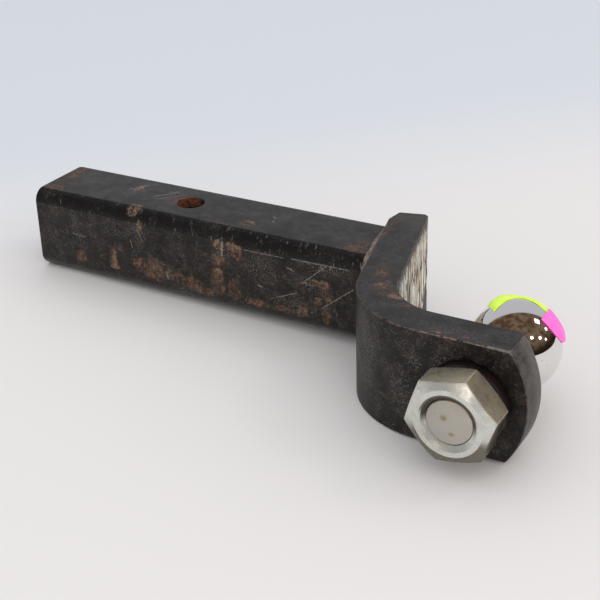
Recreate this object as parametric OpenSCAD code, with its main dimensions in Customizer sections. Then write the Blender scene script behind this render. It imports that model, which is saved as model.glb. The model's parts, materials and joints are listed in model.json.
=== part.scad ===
// Welded receiver hitch with a bent drop plate, a one-piece hitch ball, a lock washer and a hex nut.
// The origin is the centre of the hitch-pin hole. +X runs along the shank towards the plate,
// +Y is the way the ball points, and +Z is the axis of the pin hole, across the plate's width.

/* [Shank] */
// Outer width and height of the square shank
shank_w = 50.8; // [49:0.1:52]
// Wall thickness of the shank
shank_wall = 6.35; // [5:0.05:8]
// Outer corner radius of the shank
shank_corner_r = 8; // [7:0.5:9]
// Diameter of the hitch-pin hole
pin_hole_d = 16.2; // [14:0.1:18]
// Distance from the pin hole to the shank's free end
pin_to_end = 98; // [70:1:120]
// Distance from the pin hole to the plate's shank side, along the shank's axis
pin_to_plate = 125; // [90:1:180]

/* [Plate] */
// Width of the bent flat bar
plate_w = 60; // [57:1:70]
// Thickness of the bent flat bar
plate_t = 21; // [18:0.5:24]
// Inside radius of the bend
bend_r = 32; // [28:1:40]
// Lean of the leg from square to the shank, in degrees
leg_lean = 14.5; // [0:0.5:20]
// How far the leg runs past the shank's axis
leg_over = 31.5; // [29:0.5:40]
// Bevel on the leg's end, on the shank side; the other side has half of it
leg_bevel = 4; // [1:0.5:6]
// Distance from the shank's axis to the face that the ball stands on
ball_drop = 72; // [66:1:100]
// Distance from the pin hole to the ball's axis
pin_to_ball = 217.5; // [210:0.5:230]
// How far the tip runs past the ball's axis
tip_over = 29; // [26:0.5:34]
// Radius of the tip's outline
tip_r = 51; // [40:1:80]
// Diameter of the stud hole through the tongue
stud_hole_d = 26.2; // [25.8:0.1:27]

/* [Ball] */
// Diameter of the ball
ball_d = 47.63; // [46:0.01:51]
// Height of the ball's centre above the face it stands on
ball_height = 38; // [34:0.5:42]
// Diameter of the flat on top of the ball
ball_flat_d = 16; // [8:1:20]
// Diameter of the neck under the ball
neck_d = 27; // [24:0.5:30]
// Diameter of the flange
flange_d = 46; // [42:0.5:48]
// Thickness of the flange
flange_h = 9; // [7:0.5:11]
// Distance across the flange's wrench flats
flange_flats = 41.3; // [38:0.1:42]
// Diameter of the stud
stud_d = 25.4; // [25:0.1:25.6]
// Bevel on the end of the stud
stud_bevel = 1.4; // [0.5:0.1:2]

/* [Nut and washer] */
// Distance across the nut's flats
nut_flats = 41.3; // [38:0.1:44]
// Height of the nut
nut_h = 18.6; // [14:0.1:25]
// Depth of the stud's end inside the nut's outer face
stud_recess = 1.6; // [0:0.1:3]
// Turn of the nut's first corner from the +X direction, in degrees
nut_turn = 12.5; // [0:0.5:60]
// Radial clearance between the stud and the nut's thread
thread_gap = 0.05; // [0.02:0.01:0.1]
// Diameter of the countersink at each face of the nut
countersink_d = 31; // [27:0.5:32]
// Outside diameter of the lock washer
washer_d = 42; // [38:0.5:44]
// Thickness of the lock washer
washer_h = 6.35; // [4:0.05:8]
// Inside diameter of the lock washer
washer_bore_d = 26; // [25.8:0.1:27]
// Width of the split in the lock washer
washer_split = 2.4; // [1:0.1:4]

/* [Welds] */
// Leg length of the welds above and below the shank
weld_small = 4.5; // [3:0.5:5]
// Leg length of the welds on the shank's two sides
weld_large = 6; // [4:0.5:8]

/* [Labels] */
// Thickness of the tape, the tag and the old label
label_t = 0.2; // [0.1:0.05:0.4]

/* [Hidden] */
$fn = 96;
// Overlap or gap too small to see
eps = 0.01;
// Longer than anything it cuts
far = 300;

half_w = shank_w / 2;
half_plate = plate_w / 2;
bend_outer = bend_r + plate_t;
// The bend's centre: its inside radius meets the ball's face, its outside radius the leg's outer face
bend_y = bend_r - ball_drop;
bend_x = pin_to_plate + (bend_outer - bend_y * sin(leg_lean)) / cos(leg_lean);
// Straight steps along each side of the bend
bend_steps = 24;
tip_x = pin_to_ball + tip_over;
ball_r = ball_d / 2;
stud_len = plate_t + washer_h + nut_h - stud_recess;
nut_far = plate_t + washer_h;
nut_corner_r = nut_flats / 2 / cos(30);
// Radius of the round bearing face that the corner bevels leave
nut_face_r = nut_flats / 2 - 3.3;
nut_bevel_angle = 24;

steel_black = [0.13, 0.12, 0.115];
weld_brown = [0.24, 0.19, 0.16];
zinc = [0.66, 0.67, 0.65];
chrome = [0.85, 0.86, 0.88];

// A square with round corners, centred on the origin
module round_rect(w, h, r) {
    square([w - 2 * r, h], center = true);
    square([w, h - 2 * r], center = true);
    for (sx = [-1, 1], sy = [-1, 1])
        translate([sx * (w / 2 - r), sy * (h / 2 - r)])
            circle(r);
}

// Puts children in the leg's own frame: x is the depth into the leg, y runs up the leg
module on_leg() {
    translate([pin_to_plate, 0, 0])
        rotate([0, 0, leg_lean])
            children();
}

// Puts children on the ball's axis: z is the height above the ball's face, x stays x
module on_ball_axis() {
    translate([pin_to_ball, -ball_drop, 0])
        rotate([-90, 0, 0])
            children();
}

// Everything on the shank side of the leg's outer face
module shank_side() {
    on_leg()
        translate([-far, -far / 2, -far / 2])
            cube([far, far, far]);
}

module shank_bar(w, r, from, to) {
    translate([from, 0, 0])
        rotate([90, 0, 90])
            linear_extrude(to - from)
                round_rect(w, w, r);
}

module shank_tube() {
    color(steel_black)
    difference() {
        intersection() {
            shank_bar(shank_w, shank_corner_r, -pin_to_end, pin_to_plate + half_w);
            shank_side();
        }
        shank_bar(shank_w - 2 * shank_wall, shank_corner_r - shank_wall, -far, far);
        cylinder(h = shank_w + 2, d = pin_hole_d, center = true);
    }
}

// Points on the bend at radius r, from one angle to another
function bend_arc(r, from, to) =
    [for (i = [0:bend_steps])
        let (a = from + (to - from) * i / bend_steps)
            [bend_x + r * cos(a), bend_y + r * sin(a)]];

// A point of the leg: depth into the bar from its shank side, and height above the shank's axis
function leg_point(depth, up) =
    [pin_to_plate + depth * cos(leg_lean) - up * sin(leg_lean), depth * sin(leg_lean) + up * cos(leg_lean)];

// The bent bar seen along the pin hole's axis, with its tongue left a little too long
module plate_outline() {
    rough_x = tip_x + 2;
    polygon(concat([leg_point(leg_bevel, leg_over), leg_point(0, leg_over - leg_bevel)],
                   bend_arc(bend_outer, 180 + leg_lean, 270),
                   [[rough_x, -ball_drop - plate_t], [rough_x, -ball_drop]],
                   bend_arc(bend_r, 270, 180 + leg_lean),
                   [leg_point(plate_t, leg_over - leg_bevel / 2),
                    leg_point(plate_t - leg_bevel / 2, leg_over)]));
}

// What the tip's round outline cuts off the tongue
module tip_waste() {
    difference() {
        translate([pin_to_ball, -far, -far / 2])
            cube([far, far, far]);
        translate([tip_x - tip_r, 0, 0])
            rotate([90, 0, 0])
                cylinder(h = 2 * far, r = tip_r, center = true);
    }
}

module drop_plate() {
    color(steel_black)
    difference() {
        linear_extrude(plate_w, center = true)
            plate_outline();
        tip_waste();
        on_ball_axis()
            translate([0, 0, -plate_t - 1])
                cylinder(h = plate_t + 2, d = stud_hole_d);
    }
}

// A fillet weld of leg length w along z, in the corner between x < 0 and y > 0
module weld_bar(w, length) {
    sink = w / 2;
    translate([sink, -sink, -length / 2])
        cylinder(h = length, r = norm([w + sink, sink]));
}

// The weld on one face of the shank: its length runs along that face's flat, short of the round corners
module weld_run(w, turn) {
    across_lean = turn == 0 || turn == 180 ? half_w / cos(leg_lean) : half_w;
    difference() {
        on_leg()
            rotate([turn, 0, 0])
                translate([0, across_lean, 0])
                    weld_bar(w, shank_w - 2 * shank_corner_r - 1);
        translate([-far / 2, -half_w, -half_w])
            cube([2 * far, shank_w, shank_w]);
        linear_extrude(far, center = true)
            plate_outline();
    }
}

module weld_top() {
    color(weld_brown)
    weld_run(weld_small, 90);
}

module weld_bottom() {
    color(weld_brown)
    weld_run(weld_small, -90);
}

module weld_near() {
    color(weld_brown)
    weld_run(weld_large, 180);
}

module weld_far() {
    color(weld_brown)
    weld_run(weld_small, 0);
}

module ball_flange() {
    intersection() {
        union() {
            cylinder(h = flange_h - 2, d = flange_d);
            translate([0, 0, flange_h - 2])
                cylinder(h = 2, d1 = flange_d, d2 = flange_d - 6);
        }
        translate([-flange_flats / 2, -flange_d, -1])
            cube([flange_flats, 2 * flange_d, flange_h + 2]);
    }
}

module ball_neck() {
    waist = 5;
    difference() {
        cylinder(h = ball_height - ball_r * 0.7, d = neck_d + 2 * waist);
        translate([0, 0, flange_h + waist])
            rotate_extrude()
                translate([neck_d / 2 + waist, 0])
                    circle(waist);
        translate([0, 0, flange_h + waist])
            difference() {
                cylinder(h = ball_height, d = neck_d + 4 * waist);
                translate([0, 0, -eps])
                    cylinder(h = ball_height + 1, d = neck_d);
            }
    }
}

module ball_stud() {
    translate([0, 0, stud_bevel - stud_len])
        cylinder(h = stud_len - stud_bevel, d = stud_d);
    translate([0, 0, -stud_len])
        cylinder(h = stud_bevel, d1 = stud_d - 2 * stud_bevel, d2 = stud_d);
}

module hitch_ball() {
    color(chrome)
    on_ball_axis() {
        ball_stud();
        ball_flange();
        ball_neck();
        intersection() {
            translate([0, 0, ball_height])
                sphere(ball_r);
            cylinder(h = ball_height + sqrt(pow(ball_r, 2) - pow(ball_flat_d / 2, 2)), r = ball_d);
        }
    }
}

module lock_washer() {
    color(zinc * 0.7)
    on_ball_axis()
        translate([0, 0, -plate_t - washer_h])
            difference() {
                cylinder(h = washer_h, d = washer_d);
                translate([0, 0, -1])
                    cylinder(h = washer_h + 2, d = washer_bore_d);
                rotate([0, 0, 115])
                    translate([washer_d / 2, 0, washer_h / 2])
                        rotate([25, 0, 0])
                            cube([washer_d, washer_split, 3 * washer_h], center = true);
            }
}

// A hexagon whose corners are bevelled at both faces
module nut_blank() {
    rim = nut_corner_r + 1;
    bevel_h = (rim - nut_face_r) * tan(nut_bevel_angle);
    intersection() {
        rotate([0, 0, -nut_turn])
            cylinder(h = nut_h, r = nut_corner_r, $fn = 6);
        rotate_extrude()
            polygon([[0, 0], [nut_face_r, 0], [rim, bevel_h], [rim, nut_h - bevel_h],
                     [nut_face_r, nut_h], [0, nut_h]]);
    }
}

module hex_nut() {
    bore_r = stud_d / 2 + thread_gap;
    sink_h = (countersink_d / 2 - bore_r) * 0.6;
    color(zinc)
    on_ball_axis()
        translate([0, 0, -nut_far - nut_h])
            difference() {
                nut_blank();
                translate([0, 0, -1])
                    cylinder(h = nut_h + 2, r = bore_r);
                cylinder(h = sink_h, r1 = countersink_d / 2, r2 = bore_r);
                translate([0, 0, nut_h - sink_h])
                    cylinder(h = sink_h, r1 = bore_r, r2 = countersink_d / 2);
            }
}

// A thin skin over the ball, lift above its surface, kept where the children are
module ball_skin(lift) {
    intersection() {
        on_ball_axis()
            translate([0, 0, ball_height])
                difference() {
                    sphere(ball_r + lift + label_t);
                    sphere(ball_r + lift);
                }
        translate([pin_to_ball, ball_height - ball_drop, 0])
            children();
    }
}

module yellow_tape() {
    color([0.8, 0.95, 0.15])
    ball_skin(0.02)
        linear_extrude(far)
            polygon([[-16.5, 2.5], [-13, -5], [-8.5, -8.5], [-5, -2], [-3, 9.3],
                     [12.5, 6], [16, 13], [5, 18], [-9, 17]]);
}

module pink_tag() {
    tag_tilt = 37;
    color([1, 0.4, 0.8])
    ball_skin(0.05 + label_t)
        rotate([0, 90 - tag_tilt, 0])
            translate([0, 4.5, 0])
                linear_extrude(far)
                    round_rect(20, 16, 2);
}

module label_residue() {
    label_w = 52;
    label_h = 78;
    label_low = -50;
    color([0.75, 0.74, 0.7])
    on_leg()
        translate([plate_t + eps, label_low, -label_w / 2])
            cube([label_t, label_h, label_w]);
}

shank_tube();
drop_plate();
weld_top();
weld_bottom();
weld_near();
weld_far();
hitch_ball();
lock_washer();
hex_nut();
yellow_tape();
pink_tag();
label_residue();
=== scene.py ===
"""Looks of the welded trailer hitch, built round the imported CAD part. Lengths are metres in its own frame."""
import json
import math
import random

import bmesh
import bpy
from mathutils import Matrix, Vector, noise


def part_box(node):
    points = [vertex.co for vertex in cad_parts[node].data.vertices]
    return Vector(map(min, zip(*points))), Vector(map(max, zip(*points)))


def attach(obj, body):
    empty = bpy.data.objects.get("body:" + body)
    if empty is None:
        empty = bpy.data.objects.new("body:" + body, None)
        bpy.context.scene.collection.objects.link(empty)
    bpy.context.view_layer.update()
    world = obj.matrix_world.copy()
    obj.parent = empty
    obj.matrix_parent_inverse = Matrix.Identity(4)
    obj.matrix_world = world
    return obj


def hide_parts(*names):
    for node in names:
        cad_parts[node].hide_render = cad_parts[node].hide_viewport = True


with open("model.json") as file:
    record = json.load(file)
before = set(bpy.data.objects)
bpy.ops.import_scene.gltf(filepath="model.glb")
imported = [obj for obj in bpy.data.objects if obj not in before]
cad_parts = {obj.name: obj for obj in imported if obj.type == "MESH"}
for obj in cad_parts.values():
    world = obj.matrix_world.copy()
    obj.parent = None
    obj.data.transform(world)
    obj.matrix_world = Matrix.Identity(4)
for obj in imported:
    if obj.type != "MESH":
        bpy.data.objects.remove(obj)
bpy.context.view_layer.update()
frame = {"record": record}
scene = bpy.context.scene
mounts = {m["name"]: m for m in frame["record"]["mounts"]}

# ---------------- sizes, from the frame where it holds them
shank_low, shank_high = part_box("shank_tube")
plate_low, plate_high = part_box("drop_plate")
nut_low, nut_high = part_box("hex_nut")
washer_low, washer_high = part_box("lock_washer")
ball_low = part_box("hitch_ball")[0]

HALF_W = shank_high.z
SHANK_R = 0.008
SHANK_END_R = 0.0011
SHANK_WALL = 0.00635
PIN_R = mounts["hitch_pin_bore"]["dims"]["r_mm"] / 1000

LEAN = math.radians(14.5)
PLATE_X = 0.125
PLATE_T = 0.021
HALF_PLATE = plate_high.z
LEG_OVER = 0.0315
LEG_BEVEL = 0.004
BEVEL_UP = 0.010
BEND_IN = 0.032
BEND_OUT = BEND_IN + PLATE_T
TONGUE_OUT = plate_low.y
TONGUE_IN = TONGUE_OUT + PLATE_T
BEND_Y = TONGUE_OUT + BEND_OUT
BEND_X = PLATE_X + (BEND_OUT - BEND_Y * math.sin(LEAN)) / math.cos(LEAN)
TIP_X = plate_high.x
TIP_R = 0.051
STUD_HOLE_R = 0.0131
EDGE_R = 0.0008
TIP_BACK_R = 0.004
HOLE_EDGE_R = 0.0004

BALL = Vector(mounts["coupler_ball"]["pos_m"])
BALL_R = 0.023815
BALL_H = BALL.y - TONGUE_IN
BALL_FLAT_R = 0.008
NECK_R = 0.0135
FLANGE_R = 0.023
FLANGE_H = 0.009
FLANGE_FLAT = 0.02065
WAIST_R = 0.005
STUD_R = 0.0127
STUD_END = ball_low.y - TONGUE_IN
STUD_BEVEL = 0.0014
PITCH = 0.0254 / 14
THREAD_DEPTH = 0.00095
THREAD_GAP = 0.00015
THREAD_TOP = -0.012

NUT_FACE = nut_low.y - TONGUE_IN
NUT_SEAT = nut_high.y - TONGUE_IN
NUT_FLAT = 0.02065
NUT_FACE_R = NUT_FLAT - 0.0033
NUT_BEVEL = math.radians(24)
NUT_TURN = math.radians(12.5)
SINK_R = 0.0148
WASHER_OUT = (washer_high.x - washer_low.x) / 2
WASHER_IN = 0.013
WASHER_NEAR = washer_low.y - TONGUE_IN
WASHER_FAR = washer_high.y - TONGUE_IN


# ---------------- node graphs
class Graph:
    """Short calls that build the nodes of a material or a world.

    In a material mm is the point in the part's frame, in millimetres. In a world it is the direction
    from the middle.
    """

    def __init__(self, owner, coordinates="Object", scale=1000):
        owner.use_nodes = True
        self.owner = owner
        self.nodes = owner.node_tree.nodes
        self.links = owner.node_tree.links
        self.nodes.clear()
        coord = self.nodes.new("ShaderNodeTexCoord")
        self.mm = self.scaled(coord.outputs[coordinates], scale)

    def feed(self, socket, value):
        if isinstance(value, bpy.types.NodeSocket):
            self.links.new(value, socket)
        elif isinstance(value, (tuple, list)) and len(value) == 3 and socket.type == "RGBA":
            socket.default_value = (*value, 1)
        else:
            socket.default_value = value

    def math(self, operation, a, b=0.0):
        node = self.nodes.new("ShaderNodeMath")
        node.operation = operation
        self.feed(node.inputs[0], a)
        self.feed(node.inputs[1], b)
        return node.outputs[0]

    def vector(self, operation, a, b=(0, 0, 0)):
        node = self.nodes.new("ShaderNodeVectorMath")
        node.operation = operation
        self.feed(node.inputs[0], a)
        self.feed(node.inputs[1], b)
        return (node.outputs["Value"] if operation in ("LENGTH", "DOT_PRODUCT", "DISTANCE")
                else node.outputs[0])

    def scaled(self, a, factor):
        node = self.nodes.new("ShaderNodeVectorMath")
        node.operation = "SCALE"
        self.feed(node.inputs[0], a)
        self.feed(node.inputs["Scale"], factor)
        return node.outputs[0]

    def split(self, a):
        node = self.nodes.new("ShaderNodeSeparateXYZ")
        self.feed(node.inputs[0], a)
        return node.outputs

    def noise(self, size, detail=4.0, rough=0.55, at=None, swirl=0.0, colour=False):
        """Noise whose blobs are about size millimetres across."""
        node = self.nodes.new("ShaderNodeTexNoise")
        self.feed(node.inputs["Vector"], self.mm if at is None else at)
        node.inputs["Scale"].default_value = 1 / size
        node.inputs["Detail"].default_value = detail
        node.inputs["Roughness"].default_value = rough
        node.inputs["Distortion"].default_value = swirl
        return node.outputs["Color" if colour else "Fac"]

    def cells(self, size, at=None):
        """The distance from the nearest of many random points that are about size millimetres apart."""
        node = self.nodes.new("ShaderNodeTexVoronoi")
        self.feed(node.inputs["Vector"], self.mm if at is None else at)
        node.inputs["Scale"].default_value = 1 / size
        return node.outputs["Distance"]

    def fade(self, value, low, high, to_low=0.0, to_high=1.0):
        """A smooth step of value from low to high."""
        node = self.nodes.new("ShaderNodeMapRange")
        node.interpolation_type = "SMOOTHSTEP"
        for socket, v in zip(node.inputs, (value, low, high, to_low, to_high)):
            self.feed(socket, v)
        return node.outputs[0]

    def mix(self, factor, a, b):
        node = self.nodes.new("ShaderNodeMix")
        node.data_type = "RGBA"
        self.feed(node.inputs[0], factor)
        self.feed(node.inputs[6], a)
        self.feed(node.inputs[7], b)
        return node.outputs[2]

    def most(self, *values):
        """The largest of the values."""
        out = values[0]
        for v in values[1:]:
            out = self.math("MAXIMUM", out, v)
        return out

    def times(self, *values):
        """The product of the values."""
        out = values[0]
        for v in values[1:]:
            out = self.math("MULTIPLY", out, v)
        return out

    def ragged(self, size, amount, at=None):
        """The point pushed about by noise, so that what is drawn from it has a torn outline."""
        base = self.mm if at is None else at
        shift = self.vector("SUBTRACT", self.noise(size, 5, 0.65, at=base, colour=True), (0.5, 0.5, 0.5))
        return self.vector("ADD", base, self.scaled(shift, amount))

    def blotch(self, at, centre, radii, soft=0.35):
        """1 inside an ellipsoid, 0 outside it."""
        offset = self.vector("SUBTRACT", at, centre)
        squashed = self.vector("DIVIDE", offset, radii)
        return self.fade(self.vector("LENGTH", squashed), 1 + soft / 2, 1 - soft / 2)

    def blotches(self, at, marks, soft):
        """The most of several blotches. Each joins the rest as it is made, which keeps the shader small."""
        out = 0.0
        for centre, radii in marks:
            out = self.math("MAXIMUM", out, self.blotch(at, centre, radii, soft))
        return out

    def scratches(self, at, marks):
        """The most of several scratches."""
        out = 0.0
        for start, end, width in marks:
            out = self.math("MAXIMUM", out, self.scratch(at, start, end, width))
        return out

    def scratch(self, at, start, end, width):
        """1 on the line from start to end, 0 beyond its width."""
        run = Vector(end) - Vector(start)
        offset = self.vector("SUBTRACT", at, tuple(start))
        along = self.vector("DOT_PRODUCT", offset, tuple(run / run.length_squared))
        held = self.math("MINIMUM", self.math("MAXIMUM", along, 0.0), 1.0)
        gap = self.vector("DISTANCE", offset, self.scaled(tuple(run), held))
        return self.fade(gap, width, width * 0.3)

    def hairlines(self, size, angles, stretch, low, high):
        """Fine scratches that run one way: noise stretched along the turned X axis, kept near its middle."""
        turn = self.nodes.new("ShaderNodeVectorRotate")
        turn.rotation_type = "EULER_XYZ"
        self.feed(turn.inputs["Vector"], self.mm)
        turn.inputs["Rotation"].default_value = angles
        squeezed = self.vector("MULTIPLY", turn.outputs[0], (1 / stretch, 1, 1))
        value = self.noise(size, 2, 0.5, at=squeezed)
        line = self.math("ABSOLUTE", self.math("SUBTRACT", value, 0.5))
        return self.fade(line, high, low)

    def facing(self):
        """The X, Y and Z parts of the surface's own normal, in the part's frame at rest."""
        geometry = self.nodes.new("ShaderNodeNewGeometry")
        turn = self.nodes.new("ShaderNodeVectorTransform")
        turn.vector_type = "NORMAL"
        turn.convert_from = "WORLD"
        turn.convert_to = "OBJECT"
        self.links.new(geometry.outputs["Normal"], turn.inputs[0])
        return self.split(turn.outputs[0])

    def bump(self, height, distance, strength):
        node = self.nodes.new("ShaderNodeBump")
        node.inputs["Strength"].default_value = strength
        node.inputs["Distance"].default_value = distance
        self.feed(node.inputs["Height"], height)
        return node.outputs[0]

    def finish(self, colour, roughness, metallic=0.0, normal=None, specular=0.5, **others):
        """Makes the shader and returns the material. In others an input's name has _ for each space."""
        shader = self.nodes.new("ShaderNodeBsdfPrincipled")
        end = self.nodes.new("ShaderNodeOutputMaterial")
        self.links.new(shader.outputs[0], end.inputs[0])
        self.feed(shader.inputs["Base Color"], colour)
        self.feed(shader.inputs["Roughness"], roughness)
        self.feed(shader.inputs["Metallic"], metallic)
        self.feed(shader.inputs["Specular IOR Level"], specular)
        if normal is not None:
            self.links.new(normal, shader.inputs["Normal"])
        for name, value in others.items():
            self.feed(shader.inputs[name.replace("_", " ")], value)
        return self.owner


def new_surface(name):
    return Graph(bpy.data.materials.new(name))


# ---------------- materials
# Marks are places and sizes in millimetres, in the part's frame: (centre, radii), or (start, end, width)
# for a line
def on_face(y, *marks):
    """Marks on a face that looks along -Y, from (x, z, half width, half height)."""
    return [((x, y, z), (wide, 3, high)) for x, z, wide, high in marks]


def lines_on_face(y, *lines):
    """Scratches on a face that looks along -Y, from (x, z, x, z, width)."""
    return [((x0, y, z0), (x1, y, z1), width) for x0, z0, x1, z1, width in lines]


SHANK_RUST = on_face(
    -26,
    (-41, -9, 3, 7), (-22, -9, 5, 5), (-12, -10.5, 7, 7), (3, -10, 6, 4), (14, -13, 9, 4),
    (25, -16.5, 8, 2.5), (34, 6, 4.2, 3.6), (33.5, -9, 4.4, 9), (44.5, -11, 4.2, 7), (46, 14, 5, 6),
    (103, 4, 4, 2.2), (106, -1, 2.6, 4), (99, -6, 2.4, 2.4), (77, -16, 7, 2), (89, -15, 3, 4),
    (104, -14, 3, 5), (60, -16, 7, 2), (-66, -12, 4, 4),
) + [
    ((-90, -18, 25), (8, 8, 5)), ((-92, 9, 25), (5, 12, 3)), ((117, -14, 26), (6, 10, 3)),
    ((-9, 1, 25), (2.6, 6, 3)), ((46, -11, 25), (5, 4, 3)), ((36, -20, 23), (9, 3, 4)),
]
SHANK_TAN = on_face(
    -26,
    (-40, -8, 1.6, 5), (-41, -14, 3, 1.6), (35, 15, 4, 4), (45, 16, 5.5, 3), (34, -1, 3.6, 1.4),
    (93, 3, 4.5, 1.0), (101, 6, 5, 1.2),
) + [
    ((-26, -20, 23), (5, 5, 4)), ((-20, -25, 17), (2, 3, 3)), ((-41, 6, 25.4), (2.0, 7, 2)),
    ((47, -9, 25.4), (3, 2, 2)),
]
SHANK_LINES = lines_on_face(
    -25.4,
    (37.4, 20, 37, 9, 1.0), (-22, 14, -18.7, 7, 0.4), (-27.4, 6, -26.4, 1.5, 0.4), (-70.4, 2, -62, 1.3, 0.35),
    (90.4, 4, 104.8, 16.6, 0.35), (101.6, -9.7, 121, 5.8, 0.4), (69, -11, 85.7, -3.7, 0.35),
    (80, 10.6, 84.3, 9.4, 0.5), (60.6, -4.4, 62.8, -5.2, 0.7), (-3, -9, -1.8, -14, 0.6),
    (52, 15.7, 78, 16, 0.32), (83, 16.4, 118, 17, 0.4),
) + [
    ((100, -23.5, 22), (102, -25.4, 14), 0.8),
    ((109, -24, 21), (107, -25.4, 15), 0.7),
    ((-30, -25, 18.3), (36, -25, 18.2), 0.35),
    ((-46, 1, 25.4), (-38, 12, 25.4), 0.6),
    ((-25, -1, 25.4), (-16, 10, 25.4), 0.5),
    ((-22, -4, 25.4), (-10, 8, 25.4), 0.35),
    ((55, 3, 25.4), (57, 2, 25.4), 0.9),
    ((57, -2, 25.4), (59, -3, 25.4), 0.6),
]
SHANK_SCUFFS = on_face(
    -26,
    (-38, 8.5, 9, 3), (-69, 9, 3, 6), (-66, 2, 6, 2), (-21, 12, 5, 8), (-4, -8, 8, 6), (12, -18, 12, 3),
    (37, 12, 6, 10), (95, 3, 8, 5), (62, 7, 9, 7), (84, -12, 18, 5),
) + [
    ((-16, 4, 26), (8, 9, 2)), ((-40, 4, 26), (7, 10, 2)), ((104, -25, 18), (16, 4, 7)),
]
PLATE_RUST = [
    ((148, -44, 31), (4, 8, 3)), ((155, -57, 31), (5, 6, 3)), ((163, -65, 31), (7, 3.5, 3)),
    ((176, -71, 31), (7, 2, 3)), ((125, -6, 31), (3, 18, 3)), ((131, -26, 31), (3, 5, 3)),
    ((192, -92, 31), (2.6, 1.6, 3)), ((199, -90, 31), (3, 1.4, 3)), ((206, -92.5, 31), (3, 1.5, 3)),
    ((214, -89, 31), (2, 1.4, 3)), ((222, -91, 31), (3, 1.2, 3)), ((124, 14, 31), (1.6, 3, 3)),
]
PLATE_TAN = [((125, -12, 30.5), (1.5, 4, 2)), ((166, -66, 30.5), (5, 2, 2))]
PLATE_LINES = [
    ((226, -92.4, 29.6), (237, -92.6, 29.6), 0.9),
    ((168, -92.6, 3), (171, -93, -2), 0.7),
    ((178, -91, -8), (181, -92, -12), 0.5),
]
PLATE_SCUFFS = on_face(
    -93,
    (189, 13, 4, 5), (204, 17, 5, 6), (170, 1, 4, 5), (181, -6, 7, 12), (229, -22, 8, 5),
) + [
    ((134, -8, 31), (4, 3, 2)), ((205, -87, 31), (16, 5, 2)), ((232, -92, 30), (9, 3, 3)),
    ((160, -80, 10), (9, 9, 16)),
]


def steel_black(g, top, cloud, mottle, grit):
    """Black paint, brown where it is thin, and a painted highlight that makes faces that look up greyer."""
    black = g.mix(g.fade(cloud, 0.35, 0.68), (0.0036, 0.0029, 0.0025), (0.0105, 0.0082, 0.007))
    black = g.mix(g.times(g.fade(mottle, 0.48, 0.68), 0.5), black, (0.033, 0.023, 0.0165))
    black = g.mix(g.times(g.fade(grit, 0.5, 0.72), g.fade(mottle, 0.4, 0.6, 0.3, 0.8)), black,
                  (0.055, 0.043, 0.034))
    # painted highlight: faces that look up are mixed towards a lighter grey, as if lit from above
    return g.mix(g.times(top, 0.75), black, g.mix(cloud, (0.02, 0.0185, 0.0175), (0.04, 0.0372, 0.035)))


def rust_patches(g, torn, top, marks, share, soft):
    """Where rust shows: in the marks, and anywhere else over a small share of the surface."""
    thin = g.fade(g.noise(6, 7, 0.72, swirl=0.8), 0.62 - share, 0.72 - share)
    thin = g.times(thin, g.fade(top, 0, 1, 0.6, 0.25))
    patches = g.blotches(torn, marks, soft)
    breaks = g.times(g.fade(g.noise(1.9, 6, 0.72), 0.36, 0.56), g.fade(g.noise(6, 4, 0.6), 0.32, 0.6, 0.4, 1))
    return g.most(thin, g.times(patches, breaks))


def bare_steel(g, torn, line_at, scuff_at):
    """Where the paint is rubbed off: long scratches, scuffs, hairlines and flecks."""
    waver = g.ragged(2.0, 0.9)
    lines = g.scratches(waver, line_at)
    lines = g.times(lines, g.fade(g.noise(1.2, 4, 0.7), 0.36, 0.52))
    scuffs = g.blotches(torn, scuff_at, 1.3)
    scuffs = g.times(scuffs, g.fade(g.noise(0.9, 4, 0.75), 0.52, 0.64))
    hair = g.most(
        g.hairlines(1.2, (0.2, 0.5, 0.3), 30, 0.0015, 0.006),
        g.hairlines(1.4, (0.1, -0.9, 0.2), 24, 0.0015, 0.006),
        g.hairlines(1.1, (0.4, 1.4, -0.4), 26, 0.001, 0.005),
    )
    hair = g.times(hair, g.fade(g.noise(9, 3, 0.6), 0.45, 0.6), 0.6)
    flecks = g.times(g.fade(g.cells(1.9, at=g.ragged(1.2, 1.5)), 0.2, 0.1),
                     g.fade(g.noise(6, 4, 0.6), 0.47, 0.62))
    return g.most(g.times(lines, 0.85), g.times(scuffs, 0.6), hair, g.times(flecks, 0.55))


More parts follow.
